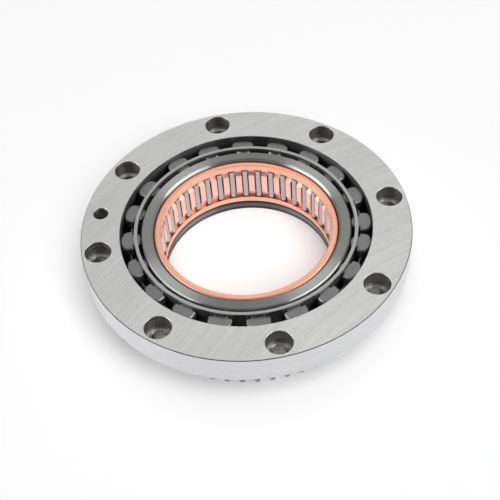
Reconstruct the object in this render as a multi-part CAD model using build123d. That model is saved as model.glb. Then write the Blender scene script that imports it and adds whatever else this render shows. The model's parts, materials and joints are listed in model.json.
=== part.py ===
from build123d import *
import os
from math import acos, cos, pi, radians, sin, tan

# One-way starter clutch: a flanged outer race, a ring of sprags in a cage, and a starter gear
# whose hub is the inner race and runs on a needle bearing.
# Millimetres. The axis is Z, and z = 0 is the hub's lower face, on which the clutch rests.

# Radial chain, from the shaft outwards
shaft_diameter = 68.0
needle_diameter = 3.0
running_clearance = 0.03
hub_wall = 4.61
sprag_space = 8.33
flange_width = 15.5
bolt_edge_distance = 6.5

# Heights, from the flange's upper face down
overall_height = 28.5
flange_thickness = 12.2
hub_top_drop = 1.1
sprag_top_drop = 2.0
sprag_length = 10.0
end_clearance = 0.2
gear_clearance = 2.5

# Outer ring
sleeve_wall = 4.0
sleeve_chamfer = 0.5
lip_reach = 4.0
lip_thickness = 3.0
flange_chamfer = 0.25
race_chamfer = 0.2
bolt_count = 8
first_bolt_angle = 8.5
bolt_hole_diameter = 6.6
counterbore_diameter = 10.4
counterbore_depth = 6.0
hole_chamfer = 0.1
floor_chamfer = 0.8
dowel_hole_diameter = 6.0
dowel_angle = 168.6

# Sprags, in two rows at one pitch with a wider space between the rows, and the cage round their feet
sprag_count = 20
first_row_count = 8
first_row_angle = -1.8
second_row_angle = 146.5
head_width = 9.0
head_corner_radius = 2.2
heel_radius = 0.6
outer_cam_radius = 6.5
foot_width = 5.6
inner_cam_radius = 4.0
foot_corner_radius = 0.5
cam_offset = 0.52
sprag_edge = 0.45
cage_gap = 1.5
cage_wall = 1.3
cage_rim_height = 1.6
cage_top_drop = 0.55
window_clearance = 0.3
head_clearance = 0.4

# Garter spring round the sprags, in a groove across each head
spring_drop = 2.2
spring_thickness = 1.5
groove_width = 2.2
groove_crown_radius = 12.0
spring_clearance = 0.12

# Starter gear
gear_module = 1.8
gear_teeth = 60
pressure_angle = 20.0
addendum = 1.0
dedendum = 1.25
profile_shift = 0.15
tooth_centre_angle = 269.9
backlash = 0.1
root_fillet = 0.45
tip_chamfer = 0.4
gear_relief = 0.2
gear_rim = 3.5
hub_shoulder = 1.5
web_recess = 2.0
web_draft = 0.6
hub_outer_chamfer = 0.5
hub_bore_chamfer = 0.8
hub_foot_chamfer = 0.5
thrust_lip_reach = 2.56
thrust_lip_chamfer = 0.4

# Needle bearing
needle_count = 40
first_needle_angle = 6.8
needle_length = 15.4
needle_edge = 0.35
needle_end_clearance = 0.5
pocket_clearance = 0.05
pocket_lip = 0.03
bearing_rim_height = 2.6
bearing_top_drop = 1.75
bearing_end_play = 0.3
bearing_cage_clearance = 0.36
shaft_to_cage = 0.15
bar_thickness = 1.15
bar_set_back = 0.2
bar_end_length = 2.3
bar_bend_length = 1.2
outer_rim_radius = 0.9
inner_rim_radius = 0.25

# Radii that follow from the chain
shaft_radius = shaft_diameter / 2
needle_radius = needle_diameter / 2
needle_circle_radius = shaft_radius + running_clearance + needle_radius
hub_bore_radius = needle_circle_radius + needle_radius + running_clearance
hub_radius = hub_bore_radius + hub_wall
race_radius = hub_radius + sprag_space
flange_radius = race_radius + flange_width
bolt_circle_radius = flange_radius - bolt_edge_distance

# Heights that follow
flange_bottom = overall_height - flange_thickness
sprag_top = overall_height - sprag_top_drop
sprag_bottom = sprag_top - sprag_length
sprag_middle = (sprag_top + sprag_bottom) / 2
lip_top = sprag_bottom - end_clearance
ring_bottom = lip_top - lip_thickness
gear_top = ring_bottom - gear_clearance
hub_top = overall_height - hub_top_drop

# Sprag cage and spring
sprag_pitch = 360 / sprag_count
cage_inner_radius = hub_radius + cage_gap
cage_outer_radius = cage_inner_radius + cage_wall
window_top = sprag_top + end_clearance
window_bottom = sprag_bottom - end_clearance
window_width = foot_width + 2 * window_clearance
cage_top = overall_height - cage_top_drop
cage_bottom = window_bottom - cage_rim_height
head_bottom_radius = cage_outer_radius + head_clearance
spring_radius = cage_outer_radius + spring_drop

# Centres of the two cams: each cam is the running clearance away from its race
outer_cam_centre = race_radius - running_clearance - outer_cam_radius
inner_cam_centre = hub_radius + running_clearance + inner_cam_radius

# Gear radii
pitch_radius = gear_module * gear_teeth / 2
base_radius = pitch_radius * cos(radians(pressure_angle))
tip_radius = pitch_radius + (addendum + profile_shift) * gear_module
root_radius = pitch_radius - (dedendum - profile_shift) * gear_module

# Needle bearing heights and radii
bearing_top = overall_height - bearing_top_drop
window_length = needle_length + 2 * needle_end_clearance
bearing_length = window_length + 2 * bearing_rim_height
bearing_bottom = bearing_top - bearing_length
bearing_middle = (bearing_top + bearing_bottom) / 2
bearing_outer_radius = hub_bore_radius - bearing_cage_clearance
bearing_inner_radius = shaft_radius + shaft_to_cage
thrust_lip_top = bearing_bottom - bearing_end_play
thrust_lip_radius = hub_bore_radius - thrust_lip_reach
lip_flare = min(thrust_lip_chamfer, thrust_lip_top / 4)


def turned(points):
    """Solid of revolution about Z from its section, given as (radius, height) points."""
    section = [point for i, point in enumerate(points) if point != points[i - 1]]
    outline = Polyline(*[(radius, 0, height) for radius, height in section], close=True)
    return revolve(make_face(outline), Axis.Z)


def ring(inner, outer, bottom, top, bore_top=0.0, bore_bottom=0.0, rim_top=0.0, rim_bottom=0.0):
    """Turned ring with a chamfer of its own at each of the four corners."""
    return turned([
        (inner + bore_bottom, bottom),
        (outer - rim_bottom, bottom),
        (outer, bottom + rim_bottom),
        (outer, top - rim_top),
        (outer - rim_top, top),
        (inner + bore_top, top),
        (inner, top - bore_top),
        (inner, bottom + bore_bottom),
    ])


def plug(radius, bottom, top, flare_top=0.0, flare_bottom=0.0):
    """Cylinder to cut a hole with, flared where the hole's edge is chamfered."""
    return turned([
        (0, bottom),
        (radius + flare_bottom, bottom),
        (radius, bottom + flare_bottom),
        (radius, top - flare_top),
        (radius + flare_top, top),
        (0, top),
    ])


def row(count, first_angle, pitch, radius=0.0):
    """Places along a circle round the axis, one pitch apart."""
    return [Rot(0, 0, first_angle + i * pitch) * Pos(radius, 0, 0) for i in range(count)]


def spread(count, first_angle, radius=0.0):
    """Places evenly spaced round the axis."""
    return row(count, first_angle, 360 / count, radius)


def sprag_places(radius=0.0):
    """Places of the sprags and their windows: the two rows one after the other."""
    first_row = row(first_row_count, first_row_angle, sprag_pitch, radius)
    return first_row + row(sprag_count - first_row_count, second_row_angle, sprag_pitch, radius)


def make_outer_ring():
    """Flange, race sleeve below it, and the lip under the sprags."""
    flange = ring(race_radius, flange_radius, flange_bottom, overall_height,
                  rim_top=flange_chamfer, rim_bottom=flange_chamfer)
    sleeve = ring(race_radius - lip_reach, race_radius + sleeve_wall, ring_bottom, overall_height,
                  bore_bottom=sleeve_chamfer, rim_bottom=sleeve_chamfer)
    race = plug(race_radius, lip_top, overall_height, flare_top=race_chamfer)
    counterbore_floor = overall_height - counterbore_depth
    bolt_hole = plug(bolt_hole_diameter / 2, flange_bottom, counterbore_floor,
                     flare_top=floor_chamfer, flare_bottom=hole_chamfer)
    counterbore = plug(counterbore_diameter / 2, counterbore_floor, overall_height, flare_top=hole_chamfer)
    dowel_hole = plug(dowel_hole_diameter / 2, flange_bottom, overall_height,
                      flare_top=hole_chamfer, flare_bottom=hole_chamfer)
    bolts = spread(bolt_count, first_bolt_angle, bolt_circle_radius)
    dowel = Rot(0, 0, dowel_angle) * Pos(bolt_circle_radius, 0, 0)
    holes = [place * cutter for place in bolts for cutter in (bolt_hole, counterbore)]
    return flange + sleeve - race - holes - dowel * dowel_hole


def involute(angle):
    """Involute function of a pressure angle in radians."""
    return tan(angle) - angle


def tooth_gap():
    """Space between two teeth, centred on X: involute sides and a round-cornered root."""
    half_pitch = pi / gear_teeth
    tooth_width = gear_module * (pi / 2 + 2 * profile_shift * tan(radians(pressure_angle))) - backlash
    half_tooth = tooth_width / (2 * pitch_radius)
    flank_points = 5

    def half_gap(radius):
        flank = involute(radians(pressure_angle)) - involute(acos(min(1.0, base_radius / radius)))
        return half_pitch - half_tooth - flank

    def flank_edge(side):
        points = []
        for i in range(flank_points):
            radius = root_radius + (tip_radius - root_radius) * i / (flank_points - 1)
            points.append((radius * cos(half_gap(radius)), side * radius * sin(half_gap(radius))))
        return points

    upper = flank_edge(1)
    lower = flank_edge(-1)
    outside = tip_radius + gear_module
    sides = Spline(*upper) + Spline(*lower)
    floor = ThreePointArc(lower[0], (root_radius, 0), upper[0])
    mouth = Polyline(upper[-1], (outside, upper[-1][1]), (outside, lower[-1][1]), lower[-1])
    gap = make_face(sides + floor + mouth)
    corners = gap.vertices().sort_by(Axis.X)[:2]
    return fillet(corners, root_fillet)


def make_driven_gear():
    """Starter gear in one piece with the hub, whose outside is the inner race."""
    first_gap_angle = tooth_centre_angle + 180 / gear_teeth
    toothed_face = Circle(tip_radius) - [place * tooth_gap() for place in spread(gear_teeth, first_gap_angle)]
    toothed = Pos(0, 0, gear_relief) * extrude(toothed_face, gear_top - gear_relief)
    blank = ring(0, tip_radius, gear_relief, gear_top, rim_top=tip_chamfer, rim_bottom=tip_chamfer)
    hub = ring(0, hub_radius, 0, hub_top, rim_top=hub_outer_chamfer, rim_bottom=hub_foot_chamfer)
    recess_inner = hub_radius + hub_shoulder
    recess_outer = root_radius - gear_rim
    upper_recess = turned([
        (recess_inner, gear_top),
        (recess_inner + web_draft, gear_top - web_recess),
        (recess_outer - web_draft, gear_top - web_recess),
        (recess_outer, gear_top),
    ])
    lower_recess = turned([
        (recess_inner, gear_relief),
        (recess_outer, gear_relief),
        (recess_outer - web_draft, gear_relief + web_recess),
        (recess_inner + web_draft, gear_relief + web_recess),
    ])
    bearing_bore = plug(hub_bore_radius, thrust_lip_top, hub_top, flare_top=hub_bore_chamfer)
    lip_bore = plug(thrust_lip_radius, 0, thrust_lip_top,
                    flare_top=lip_flare, flare_bottom=lip_flare)
    return (toothed & blank) + hub - upper_recess - lower_recess - bearing_bore - lip_bore


def make_sprag():
    """One sprag on X: a wide cam head outside the cage, and a foot reaching in through its window."""
    outer_cam = Pos(outer_cam_centre, cam_offset / 2) * Circle(outer_cam_radius)
    inner_cam = Pos(inner_cam_centre, -cam_offset / 2) * Circle(inner_cam_radius)
    head_depth = race_radius - head_bottom_radius
    foot_depth = head_bottom_radius + head_depth / 2 - hub_radius
    head_box = Pos(head_bottom_radius + head_depth / 2, 0) * Rectangle(head_depth, head_width)
    foot_box = Pos(hub_radius + foot_depth / 2, 0) * Rectangle(foot_depth, foot_width)
    head = head_box & outer_cam
    head = fillet(head.vertices().sort_by(Axis.X)[2:], head_corner_radius)
    head = fillet(head.vertices().sort_by(Axis.X)[:2], heel_radius)
    foot = foot_box & inner_cam
    foot = fillet(foot.vertices().sort_by(Axis.X)[:2], foot_corner_radius)
    body = extrude(head + foot, sprag_length)
    body = chamfer(body.faces().sort_by(Axis.Z)[-1].edges(), sprag_edge)
    body = chamfer(body.faces().sort_by(Axis.Z)[0].edges(), sprag_edge)
    crown_top = spring_radius - spring_thickness / 2 - spring_clearance
    crown = Pos(crown_top - groove_crown_radius, 0) * Circle(groove_crown_radius)
    groove_face = Pos(race_radius, 0) * Rectangle(2 * sprag_space, 2 * head_width) - crown
    groove = extrude(groove_face, groove_width)
    return Pos(0, 0, sprag_bottom) * body - Pos(0, 0, sprag_middle - groove_width / 2) * groove


def make_sprag_cage():
    """Thin ring with one window for the foot of each sprag."""
    tube = ring(cage_inner_radius, cage_outer_radius, cage_bottom, cage_top)
    window_height = window_top - window_bottom
    window = Pos(0, 0, window_bottom + window_height / 2) * Box(4 * cage_wall, window_width, window_height)
    wall_middle = (cage_inner_radius + cage_outer_radius) / 2
    return tube - [place * window for place in sprag_places(wall_middle)]


def make_garter_spring():
    """Closed coil spring, as the ring that its coils fill."""
    return Pos(0, 0, sprag_middle) * Torus(spring_radius, spring_thickness / 2)


def end_circles(body):
    """Edges of both end faces, from the smallest circle to the largest."""
    levels = body.edges().group_by(Axis.Z)
    return (levels[0] + levels[-1]).sort_by(SortBy.RADIUS)


def make_needle_cage():
    """Cage with solid rims and bars bent inwards at mid length, with a pocket for each needle."""
    end_inner = bearing_outer_radius - bar_thickness
    middle_inner = bearing_inner_radius + bar_set_back
    middle_outer = middle_inner + bar_thickness
    heights = [bearing_rim_height, bearing_rim_height + bar_end_length]
    heights.append(heights[-1] + bar_bend_length)
    low = [bearing_bottom + height for height in heights]
    high = [bearing_top - height for height in heights]
    body = turned([
        (bearing_inner_radius, bearing_bottom),
        (bearing_outer_radius, bearing_bottom),
        (bearing_outer_radius, low[1]),
        (middle_outer, low[2]),
        (middle_outer, high[2]),
        (bearing_outer_radius, high[1]),
        (bearing_outer_radius, bearing_top),
        (bearing_inner_radius, bearing_top),
        (bearing_inner_radius, high[0]),
        (end_inner, high[0]),
        (end_inner, high[1]),
        (middle_inner, high[2]),
        (middle_inner, low[2]),
        (end_inner, low[1]),
        (end_inner, low[0]),
        (bearing_inner_radius, low[0]),
    ])
    body = fillet(end_circles(body)[2:], outer_rim_radius)
    body = fillet(end_circles(body)[:2], inner_rim_radius)
    slot_width = 2 * (needle_radius - pocket_lip)
    slot = Box(4 * needle_radius, slot_width, window_length)
    pocket = Pos(0, 0, bearing_middle) * (slot + Cylinder(needle_radius + pocket_clearance, window_length))
    return body - [place * pocket for place in spread(needle_count, first_needle_angle, needle_circle_radius)]


def make_needle_rollers():
    """All the needles, as separate solids with chamfered ends."""
    needle = Cylinder(needle_radius, needle_length)
    needle = Pos(0, 0, bearing_middle) * chamfer(needle.edges().filter_by(GeomType.CIRCLE), needle_edge)
    return Compound(children=[place * needle for place in
                              spread(needle_count, first_needle_angle, needle_circle_radius)])


def main():
    os.makedirs("parts", exist_ok=True)
    pieces = {
        "outer_ring": make_outer_ring(),
        "driven_gear": make_driven_gear(),
        "sprag_cage": make_sprag_cage(),
        "garter_spring": make_garter_spring(),
        "needle_cage": make_needle_cage(),
        "needle_rollers": make_needle_rollers(),
    }
    sprag = make_sprag()
    for number, place in enumerate(sprag_places(), start=1):
        pieces[f"sprag_{number:02d}"] = place * sprag
    for name, piece in pieces.items():
        export_step(piece, f"parts/{name}.step")


main()
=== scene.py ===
import json
from math import cos, pi, radians, sin

import bmesh
import bpy
from mathutils import Matrix, Vector

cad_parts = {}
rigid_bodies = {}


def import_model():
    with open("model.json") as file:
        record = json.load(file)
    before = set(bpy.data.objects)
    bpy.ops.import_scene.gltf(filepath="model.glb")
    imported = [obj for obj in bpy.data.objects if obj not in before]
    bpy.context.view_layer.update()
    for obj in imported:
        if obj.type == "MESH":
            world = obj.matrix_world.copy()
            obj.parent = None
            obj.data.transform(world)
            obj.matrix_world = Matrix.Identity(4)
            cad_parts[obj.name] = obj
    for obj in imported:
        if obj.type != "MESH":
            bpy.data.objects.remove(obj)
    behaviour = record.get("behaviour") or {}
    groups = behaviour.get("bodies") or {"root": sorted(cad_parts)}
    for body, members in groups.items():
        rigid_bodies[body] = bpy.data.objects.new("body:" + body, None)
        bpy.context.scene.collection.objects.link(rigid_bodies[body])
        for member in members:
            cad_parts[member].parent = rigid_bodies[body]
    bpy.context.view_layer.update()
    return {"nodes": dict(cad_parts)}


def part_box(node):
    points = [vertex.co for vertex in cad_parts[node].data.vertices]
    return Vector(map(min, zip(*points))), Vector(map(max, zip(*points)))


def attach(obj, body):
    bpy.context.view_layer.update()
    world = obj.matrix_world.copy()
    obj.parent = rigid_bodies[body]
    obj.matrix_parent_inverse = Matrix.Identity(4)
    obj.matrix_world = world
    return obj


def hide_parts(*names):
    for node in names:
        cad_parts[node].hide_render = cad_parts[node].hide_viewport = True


for leftover in list(bpy.data.objects):
    bpy.data.objects.remove(leftover)
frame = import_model()
nodes = frame["nodes"]
MM = 0.001
MICRON = 0.001 * MM
UP = Vector((0, 0, 1))


# Camera, fitted to the photograph: in front of the clutch and above it
FLANGE_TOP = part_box("outer_ring")[1].z
CAMERA_DISTANCE = 415.65 * MM
CAMERA_ELEVATION = radians(48.171)
CAMERA_PITCH = radians(49.613)
CAMERA_YAW = radians(0.195)
CAMERA_ROLL = radians(-4.371)
CAMERA_LENS = 75.56
FILM_WIDTH = 36.0
NEAREST_SEEN = 0.01
FARTHEST_SEEN = 50.0


def add_object(name, data):
    item = bpy.data.objects.new(name, data)
    bpy.context.scene.collection.objects.link(item)
    return item


def finished_mesh(name, draft):
    """Mesh data from a bmesh draft, which is freed."""
    data = bpy.data.meshes.new(name)
    draft.to_mesh(data)
    draft.free()
    return data


def add_camera():
    data = bpy.data.cameras.new("camera")
    data.lens = CAMERA_LENS
    data.sensor_width = FILM_WIDTH
    data.clip_start = NEAREST_SEEN
    data.clip_end = FARTHEST_SEEN
    camera = add_object("camera", data)
    forward = Vector((sin(CAMERA_YAW) * cos(CAMERA_PITCH), cos(CAMERA_YAW) * cos(CAMERA_PITCH),
                      -sin(CAMERA_PITCH)))
    level_right = Vector((cos(CAMERA_YAW), -sin(CAMERA_YAW), 0))
    level_up = level_right.cross(forward)
    right = level_right * cos(CAMERA_ROLL) + level_up * sin(CAMERA_ROLL)
    up = level_up * cos(CAMERA_ROLL) - level_right * sin(CAMERA_ROLL)
    place = Vector((0, -CAMERA_DISTANCE * cos(CAMERA_ELEVATION),
                    FLANGE_TOP + CAMERA_DISTANCE * sin(CAMERA_ELEVATION)))
    turn = Matrix((right, up, -forward)).transposed().to_4x4()
    camera.matrix_world = Matrix.Translation(place) @ turn
    bpy.context.scene.camera = camera


# Small helpers for node trees

def feed(tree, socket, value):
    """Links another node's socket to an input, or sets the input to a plain value."""
    if isinstance(value, bpy.types.NodeSocket):
        tree.links.new(value, socket)
    else:
        socket.default_value = value


def add_node(tree, kind, *inputs, **settings):
    """Adds a node with its settings, and feeds its first inputs in their order."""
    node = tree.nodes.new(kind)
    for key, value in settings.items():
        setattr(node, key, value)
    for socket, value in zip(node.inputs, inputs):
        feed(tree, socket, value)
    return node


def grey(level):
    return (level, level, level, 1)


# Mix node: first input and result for each kind of value
MIX_SOCKETS = {"FLOAT": (2, 0), "VECTOR": (4, 1), "RGBA": (6, 2)}

# Usual lowest and highest value of a noise texture
NOISE_RANGE = (0.3, 0.7)


class Shader:
    """One material's node tree, with short ways to add nodes and link them."""

    def __init__(self, name):
        self.material = bpy.data.materials.new(name)
        self.material.use_nodes = True
        self.tree = self.material.node_tree
        self.surface = self.tree.nodes["Principled BSDF"]
        self.output = self.tree.nodes["Material Output"]

    def add(self, kind, *inputs, **settings):
        return add_node(self.tree, kind, *inputs, **settings)

    def feed(self, socket, value):
        feed(self.tree, socket, value)

    def set(self, **values):
        """Feeds the surface's sockets, such as base_color for the one called Base Color."""
        for key, value in values.items():
            title = key.replace("_", " ").title().replace("Ior", "IOR")
            self.feed(self.surface.inputs[title], value)

    # Numbers, vectors and colours

    def math(self, operation, first, second=0.0, clamp=False):
        node = self.add("ShaderNodeMath", first, second, operation=operation, use_clamp=clamp)
        return node.outputs[0]

    def vector_math(self, operation, *vectors):
        node = self.add("ShaderNodeVectorMath", *vectors, operation=operation)
        return node.outputs["Value" if operation in ("DOT_PRODUCT", "LENGTH") else "Vector"]

    def remap(self, value, low, high, to_low=0.0, to_high=1.0):
        return self.add("ShaderNodeMapRange", value, low, high, to_low, to_high).outputs[0]

    def spread(self, noise, to_low=0.0, to_high=1.0):
        """A noise, spread from its usual range over another one."""
        return self.remap(noise, *NOISE_RANGE, to_low, to_high)

    def tone(self, first, second, share):
        """Sum of two noises in which the first has the given share of the full range."""
        rest = self.spread(second, 0.0, 1.0 - share)
        return self.math("ADD", self.spread(first, 0.0, share), rest)

    def mix_kind(self, kind, factor, first, second):
        node = self.add("ShaderNodeMix", factor, data_type=kind)
        start, result = MIX_SOCKETS[kind]
        self.feed(node.inputs[start], first)
        self.feed(node.inputs[start + 1], second)
        return node.outputs[result]

    def mix(self, factor, first, second):
        """Colour between two colours."""
        return self.mix_kind("RGBA", factor, first, second)

    def blend(self, factor, first, second):
        """Plain number between two numbers."""
        return self.mix_kind("FLOAT", factor, first, second)

    def joined(self, parts, scales):
        """A vector from three numbers, each with its own scale."""
        scaled = [self.math("MULTIPLY", part, scale) for part, scale in zip(parts, scales)]
        return self.add("ShaderNodeCombineXYZ", *scaled).outputs[0]

    # Masks: 1 inside, 0 outside

    def between(self, value, low, high):
        return self.both(self.math("GREATER_THAN", value, low), self.math("LESS_THAN", value, high))

    def both(self, first, second):
        return self.math("MULTIPLY", first, second)

    # Places and directions

    def place(self):
        return self.add("ShaderNodeTexCoord").outputs["Object"]

    def flattened(self, vector):
        return self.vector_math("MULTIPLY", vector, (1, 1, 0))

    def normal_height(self):
        """How far the surface faces up: 1 on upper faces, 0 on walls, -1 on lower faces."""
        normal = self.add("ShaderNodeNewGeometry").outputs["Normal"]
        return self.add("ShaderNodeSeparateXYZ", normal).outputs[2]

    def levelness(self):
        """How far the surface faces up or down: 1 on level faces, 0 on walls."""
        return self.math("ABSOLUTE", self.normal_height())

    def faces_axis(self):
        """How far a wall faces straight towards the axis or away from it: 1 fully, 0 not at all."""
        outward = self.vector_math("NORMALIZE", self.flattened(self.place()))
        normal = self.add("ShaderNodeTexCoord").outputs["Normal"]
        return self.math("ABSOLUTE", self.vector_math("DOT_PRODUCT", outward, normal))

    def cylinder_parts(self):
        """Distance from the clutch's axis, angle round it and height, in metres and radians."""
        x, y, z = self.add("ShaderNodeSeparateXYZ", self.place()).outputs
        squares = self.math("ADD", self.math("MULTIPLY", x, x), self.math("MULTIPLY", y, y))
        return self.math("SQRT", squares), self.math("ARCTAN2", y, x), z

    def from_point(self, point):
        """Distance from an upright line through a point, angle round it, and direction away."""
        away = self.flattened(self.vector_math("SUBTRACT", self.place(), (*point, 0)))
        x, y, _ = self.add("ShaderNodeSeparateXYZ", away).outputs
        return (self.vector_math("LENGTH", away), self.math("ARCTAN2", y, x),
                self.vector_math("NORMALIZE", away))

    def round_tangent(self):
        """Direction round the clutch's axis."""
        return self.add("ShaderNodeTangent", direction_type="RADIAL", axis="Z").outputs[0]

    # Textures

    def noise(self, vector, scale=1.0, detail=2.0, rough=0.5):
        node = self.add("ShaderNodeTexNoise")
        self.feed(node.inputs["Vector"], vector)
        node.inputs["Scale"].default_value = scale
        node.inputs["Detail"].default_value = detail
        node.inputs["Roughness"].default_value = rough
        return node.outputs["Fac"]

    def turned_noise(self, scales, detail=2.0, rough=0.5):
        """Noise drawn out round the axis, like turned marks: scales for radius, angle, height."""
        return self.noise(self.joined(self.cylinder_parts(), scales), 1.0, detail, rough)

    def bump(self, height, distance):
        node = self.add("ShaderNodeBump")
        node.inputs["Distance"].default_value = distance
        self.feed(node.inputs["Height"], height)
        return node.outputs[0]


def give(node_names, material):
    for name in node_names:
        for slot in nodes[name].material_slots:
            slot.material = material


# Upward part of the normal where a face starts to count as level, and where it does in full
LEVEL_FACE = (0.95, 0.99)

# With this rotation the highlights lie across the tangent
QUARTER_TURN = 0.25

# Outer ring: distances from the axis and heights at which its finish changes, and where painted
# shade and a painted highlight lie
RACE_REACH = 51.0 * MM
HOLE_REACH = (52.5 * MM, 64.8 * MM)
HOLE_HEIGHTS = (16.4 * MM, 28.44 * MM)
RIM_REACH = 64.9 * MM

# The flange's grinding lines are arcs round this point, far outside the flange
GRINDING_CENTRE = (120 * MM, -158 * MM)

# How fine the arcs are: scales for distance, angle and height
FINE_ARCS = (1300, 7.0, 14)
LONG_ARCS = (420, 4.0, 8)


def ground_steel():
    """Outer ring: ground upper face and turned walls; painted shade on the race, on the drilled
    holes' walls and as a dark line on the rim's chamfer, and a painted highlight on the holes'
    floors.
    """
    s = Shader("ground_steel_finish")
    place = s.place()
    up = s.normal_height()
    radius, _, height = s.cylinder_parts()
    flat = s.remap(up, *LEVEL_FACE)
    wall = s.remap(s.math("ABSOLUTE", up), 0.2, 0.05)
    chamfer = s.math("SUBTRACT", s.math("SUBTRACT", 1.0, flat, clamp=True), wall, clamp=True)
    hole = s.both(s.between(radius, *HOLE_REACH), s.between(height, *HOLE_HEIGHTS))
    race = s.math("LESS_THAN", radius, RACE_REACH)
    rim_shade_line = s.math("GREATER_THAN", radius, RIM_REACH)

    distance, bearing, outward = s.from_point(GRINDING_CENTRE)
    arc_place = (distance, bearing, height)
    fine_arcs = s.noise(s.joined(arc_place, FINE_ARCS), detail=3.0, rough=0.6)
    long_arcs = s.noise(s.joined(arc_place, LONG_ARCS))
    grain = s.noise(place, 1100.0, rough=0.6)
    arcs = s.math("ADD", s.math("MULTIPLY", fine_arcs, 0.45), s.math("MULTIPLY", long_arcs, 0.3))
    ground = s.math("ADD", arcs, s.math("MULTIPLY", grain, 0.25))
    turned = s.turned_noise((2500, 1.2, 2500))
    marks = s.blend(s.math("SUBTRACT", flat, hole, clamp=True), turned, ground)
    cloud = s.noise(place, 28.0, 3.0, 0.6)
    tone = s.math("ADD", s.remap(marks, 0.38, 0.62, 0.0, 0.7), s.spread(cloud, 0.0, 0.3))

    top = s.mix(tone, (0.57, 0.57, 0.565, 1), (0.75, 0.745, 0.74, 1))
    outside = s.mix(tone, (0.61, 0.61, 0.625, 1), (0.69, 0.69, 0.705, 1))
    # The race wall is painted dark grey as the shade between the sprags.
    side = s.mix(race, outside, s.mix(tone, grey(0.16), grey(0.24)))
    # The rim's chamfer is painted nearly black as a dark shade line; the other chamfers keep a
    # plain darker grey.
    chamfer_and_rim_shade_line = s.mix(rim_shade_line, grey(0.30), grey(0.055))
    clean = s.mix(chamfer, s.mix(flat, side, top), chamfer_and_rim_shade_line)
    rings = s.remap(s.turned_noise((20, 0.2, 2600), detail=1.0), 0.35, 0.65)
    # Hole walls: turned rings in a dark colour that is painted shade. Hole floors and chamfers: a
    # pale colour that is a painted highlight.
    hole_wall_shade = s.mix(rings, (0.13, 0.127, 0.123, 1), (0.35, 0.343, 0.335, 1))
    hole_shade_and_highlight = s.mix(s.math("MAXIMUM", flat, chamfer), hole_wall_shade, (0.80, 0.785, 0.77, 1))

    plain_rough = s.blend(flat, s.blend(race, 0.26, 0.42), 0.40)
    marked_rough = s.math("ADD", plain_rough, s.spread(marks, -0.05, 0.05))
    rough = s.blend(s.both(chamfer, rim_shade_line), s.blend(hole, marked_rough, 0.42), 0.60)
    across = s.mix_kind("VECTOR", flat, UP, outward)
    s.set(metallic=1.0, base_color=s.mix(hole, clean, hole_shade_and_highlight), roughness=rough,
          normal=s.bump(marks, 14 * MICRON), tangent=across, anisotropic=0.75)
    give(["outer_ring"], s.material)


# Thrust lip in the hub's bore: its reach, its top, the height where its painted shade is lightest
# and how far the painted shade takes to darken from there
LIP_REACH = 36.9 * MM
LIP_TOP = 5.2 * MM
LIP_LEAST_SHADE_HEIGHT = 2.6 * MM
LIP_SHADE_FADE = 5 / 3 * MM


def gear_steel():
    """Starter gear and hub: turned and ground round the axis, with a dark unground lip in the bore
    that carries painted shade towards its top and bottom.
    """
    s = Shader("gear_steel_finish")
    radius, _, height = s.cylinder_parts()
    flat = s.remap(s.normal_height(), *LEVEL_FACE)
    lip = s.both(s.math("LESS_THAN", radius, LIP_REACH), s.math("LESS_THAN", height, LIP_TOP))
    turned = s.turned_noise((3200, 0.8, 3200), 3.0, 0.6)
    cloud = s.noise(s.place(), 35.0, 3.0, 0.6)
    ground = s.mix(s.tone(turned, cloud, 0.5), (0.385, 0.39, 0.38, 1), (0.465, 0.47, 0.455, 1))
    # The lip is darker than the hub for its unground finish. Painted shade darkens it further
    # towards its top, under the needle cage, and towards its bottom by the floor.
    from_middle = s.math("ABSOLUTE", s.math("SUBTRACT", height, LIP_LEAST_SHADE_HEIGHT))
    middle = s.remap(from_middle, 0.0, LIP_SHADE_FADE, 1.0, 0.0)
    lip_unground_and_shade = s.mix(middle, (0.07, 0.067, 0.065, 1), (0.30, 0.28, 0.27, 1))
    rough = s.math("ADD", s.blend(flat, 0.32, 0.46), s.spread(turned, -0.04, 0.04))
    s.set(metallic=1.0, base_color=s.mix(lip, ground, lip_unground_and_shade), roughness=s.blend(lip, rough, 0.45),
          normal=s.bump(turned, 4 * MICRON), tangent=s.round_tangent(), anisotropic=1.0,
          anisotropic_rotation=QUARTER_TURN)
    give(["driven_gear"], s.material)


def sprag_steel():
    """Sprags: darker and smoother at the ends than at the sides."""
    s = Shader("sprag_steel_finish")
    place = s.place()
    flat = s.remap(s.levelness(), 0.9, 0.98)
    grain = s.noise(place, 2200.0, 3.0, 0.6)
    tone = s.tone(grain, s.noise(place, 150.0), 0.6)
    ends = s.mix(tone, grey(0.20), grey(0.27))
    sides = s.mix(tone, grey(0.26), grey(0.34))
    rough = s.math("ADD", s.blend(flat, 0.54, 0.38), s.spread(grain, -0.04, 0.04))
    s.set(metallic=1.0, base_color=s.mix(flat, sides, ends), roughness=rough,
          normal=s.bump(grain, 4 * MICRON))
    sprags = [name for name in nodes if name.startswith("sprag_") and name != "sprag_cage"]
    give(sprags, s.material)


def cage_steel():
    """Sprag cage: pressed sheet with a satin surface."""
    s = Shader("cage_steel_finish")
    grain = s.noise(s.place(), 900.0, 3.0, 0.6)
    tone = s.tone(grain, s.turned_noise((900, 3.0, 2200)), 0.5)
    colour = s.mix(tone, (0.38, 0.38, 0.38, 1), (0.48, 0.48, 0.475, 1))
    s.set(metallic=1.0, base_color=colour, roughness=s.remap(tone, 0.0, 1.0, 0.24, 0.34),
          normal=s.bump(grain, 4 * MICRON), tangent=s.round_tangent(), anisotropic=0.8,
          anisotropic_rotation=QUARTER_TURN)
    give(["sprag_cage"], s.material)


# Needle cage: the bars lie between these heights and inside this distance from the axis
BAR_HEIGHTS = (7.6 * MM, 24.4 * MM)
BAR_REACH = 36.6 * MM


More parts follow.
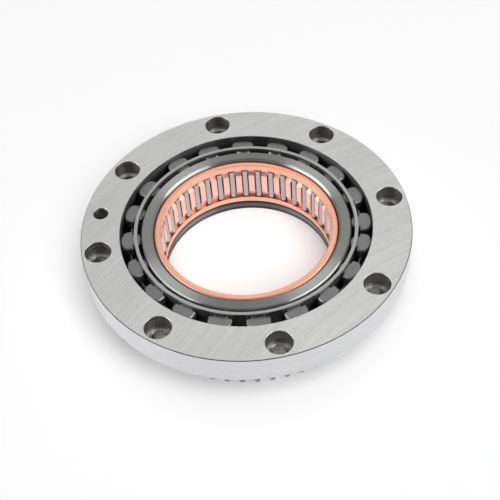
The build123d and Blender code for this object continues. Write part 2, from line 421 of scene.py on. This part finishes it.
def copper_plate():
    """Needle cage: thin copper plating over pressed steel; on the bars, a paler face colour is a
    painted highlight, and darker copper on the bends and in the pockets is painted shade.
    """
    s = Shader("copper_plate_finish")
    radius, _, height = s.cylinder_parts()
    turned = s.turned_noise((1500, 0.8, 1500))
    tone = s.tone(s.noise(s.place(), 60.0, 3.0, 0.6), turned, 0.75)
    bars = s.both(s.between(height, *BAR_HEIGHTS), s.math("LESS_THAN", radius, BAR_REACH))
    # On the bars, the paler face colour is a painted highlight, the darker copper on the bends is
    # painted shade that tones down their glints, and the dark brown in the pockets beside the
    # needles is painted shade.
    bends = s.remap(s.levelness(), 0.10, 0.45)
    pocket_shade = s.both(s.remap(s.faces_axis(), 0.92, 0.70), s.math("SUBTRACT", 1.0, bends))
    rims = s.mix(tone, (0.99, 0.475, 0.32, 1), (1.0, 0.545, 0.40, 1))
    faces = s.mix(tone, (0.98, 0.60, 0.52, 1), (1.0, 0.68, 0.61, 1))
    bar_sheen_and_shade = s.mix(pocket_shade, s.mix(bends, faces, (0.86, 0.43, 0.31, 1)), (0.42, 0.17, 0.12, 1))
    rough = s.blend(bars, s.spread(turned, 0.32, 0.40), 0.48)
    s.set(metallic=1.0, base_color=s.mix(bars, rims, bar_sheen_and_shade), roughness=rough,
          normal=s.bump(turned, 1 * MICRON))
    give(["needle_cage"], s.material)


# Needle rollers: how fine the marks are along x, y and z
LAPPING_MARKS = (800, 800, 4000)


def roller_steel():
    """Needle rollers: lapped bright, with their ends painted dark as shade."""
    s = Shader("roller_steel_finish")
    fine = s.noise(s.vector_math("MULTIPLY", s.place(), LAPPING_MARKS))
    # The roller ends are painted dark as shade, in place of their glints.
    ends = s.remap(s.levelness(), 0.2, 0.5)
    sides = s.mix(fine, (0.42, 0.38, 0.375, 1), (0.52, 0.47, 0.46, 1))
    rough = s.blend(ends, s.spread(fine, 0.10, 0.18), 0.5)
    s.set(metallic=1.0, base_color=s.mix(ends, sides, (0.16, 0.15, 0.15, 1)), roughness=rough,
          normal=s.bump(fine, 2 * MICRON))
    give(["needle_rollers"], s.material)


def spring_wire():
    """Drawn spring wire."""
    s = Shader("spring_wire_finish")
    grain = s.noise(s.place(), 2500.0)
    colour = s.mix(grain, (0.48, 0.48, 0.48, 1), (0.62, 0.62, 0.61, 1))
    s.set(metallic=1.0, base_color=colour, roughness=s.spread(grain, 0.18, 0.30))
    return s.material


# Garter spring: a coil of fine wire in the place of the plain ring
WIRE_DIAMETER = 0.3 * MM
COIL_PITCH = 0.4 * MM
POINTS_PER_COIL = 10
WIRE_SIDES = 5


def add_garter_spring():
    low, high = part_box("garter_spring")
    coil_radius = (high.z - low.z) / 2
    middle = Vector((0, 0, (high.z + low.z) / 2))
    circle_radius = high.x - coil_radius
    helix_radius = coil_radius - WIRE_DIAMETER / 2
    advance = COIL_PITCH / (2 * pi * helix_radius)
    count = round(2 * pi * circle_radius / COIL_PITCH) * POINTS_PER_COIL
    draft = bmesh.new()
    rings = []
    for i in range(count):
        around = 2 * pi * i / count
        turn = 2 * pi * i / POINTS_PER_COIL
        radial = Vector((cos(around), sin(around), 0))
        outward = radial * cos(turn) + UP * sin(turn)
        along = Vector((-sin(around), cos(around), 0)) * advance
        tangent = (along + (UP * cos(turn) - radial * sin(turn))).normalized()
        side = tangent.cross(outward).normalized()
        centre = radial * circle_radius + middle + outward * helix_radius
        ring = []
        for k in range(WIRE_SIDES):
            angle = 2 * pi * k / WIRE_SIDES
            offset = (outward * cos(angle) + side * sin(angle)) * (WIRE_DIAMETER / 2)
            ring.append(draft.verts.new(centre + offset))
        rings.append(ring)
    for i, ring in enumerate(rings):
        following = rings[(i + 1) % count]
        for k in range(WIRE_SIDES):
            k_next = (k + 1) % WIRE_SIDES
            draft.faces.new((ring[k], ring[k_next], following[k_next], following[k]))
    data = finished_mesh("garter_spring_coil", draft)
    data.polygons.foreach_set("use_smooth", [True] * len(data.polygons))
    coil = add_object("garter_spring_coil", data)
    data.materials.append(spring_wire())
    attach(coil, "sprag_cage")
    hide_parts("garter_spring")


# Floor, in metres
FLOOR_SIZE = 12.0
FLOOR_COLOUR = (0.90, 0.90, 0.905, 1)
FLOOR_GLOW = 0.18


def add_floor():
    """Pale paper that keeps the clutch's shadow."""
    half = FLOOR_SIZE / 2
    draft = bmesh.new()
    corners = ((-half, -half), (half, -half), (half, half), (-half, half))
    draft.faces.new([draft.verts.new((x, y, 0)) for x, y in corners])
    data = finished_mesh("floor", draft)
    floor = add_object("floor", data)
    s = Shader("floor_paper")
    s.set(base_color=FLOOR_COLOUR, roughness=0.9, specular_ior_level=0.1)
    rays = s.add("ShaderNodeLightPath").outputs
    seen = s.math("MAXIMUM", s.math("MAXIMUM", rays["Is Camera Ray"], rays["Is Glossy Ray"]),
                  rays["Is Transmission Ray"])
    glow = s.add("ShaderNodeEmission", grey(1), s.math("MULTIPLY", seen, FLOOR_GLOW))
    total = s.add("ShaderNodeAddShader", s.surface.outputs[0], glow.outputs[0])
    s.feed(s.output.inputs["Surface"], total.outputs[0])
    data.materials.append(s.material)


# Studio that the metal mirrors: its plain level, a paler card behind the clutch and a dark patch
# behind the camera. Each patch has a direction, and the cosines from it where it ends and is full.
STUDIO_LEVEL = 0.36
BACK_CARD = 0.62
BACK_CARD_PATCH = ((0.20, 0.57, 0.80), 0.78, 0.97)
FRONT_DARK = 0.15
FRONT_DARK_PATCH = ((0, -0.74, 0.67), 0.6, 0.95)

# What the camera sees past the floor's edge
BACKDROP_LEVEL = 0.93


def add_world():
    world = bpy.data.worlds.new("studio")
    bpy.context.scene.world = world
    world.cycles_visibility.diffuse = False
    world.use_nodes = True
    tree = world.node_tree
    sight = add_node(tree, "ShaderNodeTexCoord").outputs["Generated"]

    def patch(direction, end, full):
        cosine = add_node(tree, "ShaderNodeVectorMath", sight, direction, operation="DOT_PRODUCT")
        return add_node(tree, "ShaderNodeMapRange", cosine.outputs["Value"], end, full, 0.0, 1.0,
                        interpolation_type="SMOOTHSTEP").outputs[0]

    def times_plus(value, factor, extra):
        return add_node(tree, "ShaderNodeMath", value, factor, extra,
                        operation="MULTIPLY_ADD").outputs[0]

    plain = times_plus(patch(*FRONT_DARK_PATCH), -FRONT_DARK, STUDIO_LEVEL)
    mirrored = times_plus(patch(*BACK_CARD_PATCH), BACK_CARD, plain)
    seen = add_node(tree, "ShaderNodeLightPath").outputs["Is Camera Ray"]
    shown = add_node(tree, "ShaderNodeMapRange", seen, 0.0, 1.0, mirrored, BACKDROP_LEVEL)
    background = tree.nodes["Background"].inputs
    feed(tree, background["Color"], grey(1))
    feed(tree, background["Strength"], shown.outputs[0])


# Softboxes: name, azimuth and elevation in degrees, distance, width and height in metres,
# radiance, and whether it lights the floor or is there for the metal to mirror
SOFTBOXES = (
    ("softbox_left", 188, 25, 1.4, 1.4, 0.65, 5.0, False),
    ("softbox_right", 336, 30, 1.4, 1.4, 0.55, 5.4, False),
    ("softbox_above", 289, 58, 6.0, 4.8, 4.8, 5.1, True),
    ("softbox_top", 80, 78, 6.0, 4.5, 4.5, 1.0, True),
)


def add_softbox(name, azimuth, elevation, distance, width, height, radiance, for_floor):
    """Area lamp that faces the clutch."""
    data = bpy.data.lights.new(name, "AREA")
    data.shape = "RECTANGLE"
    data.size = width
    data.size_y = height
    data.energy = radiance * pi * width * height
    lamp = add_object(name, data)
    around, rise = radians(azimuth), radians(elevation)
    direction = Vector((cos(around) * cos(rise), sin(around) * cos(rise), sin(rise)))
    lamp.location = direction * distance
    lamp.rotation_euler = direction.to_track_quat("Z", "Y").to_euler()
    lamp.visible_diffuse = for_floor
    lamp.visible_glossy = not for_floor


add_camera()
bpy.context.scene.view_settings.view_transform = "Standard"
ground_steel()
gear_steel()
sprag_steel()
cage_steel()
copper_plate()
roller_steel()
add_garter_spring()
add_floor()
add_world()
for softbox in SOFTBOXES:
    add_softbox(*softbox)
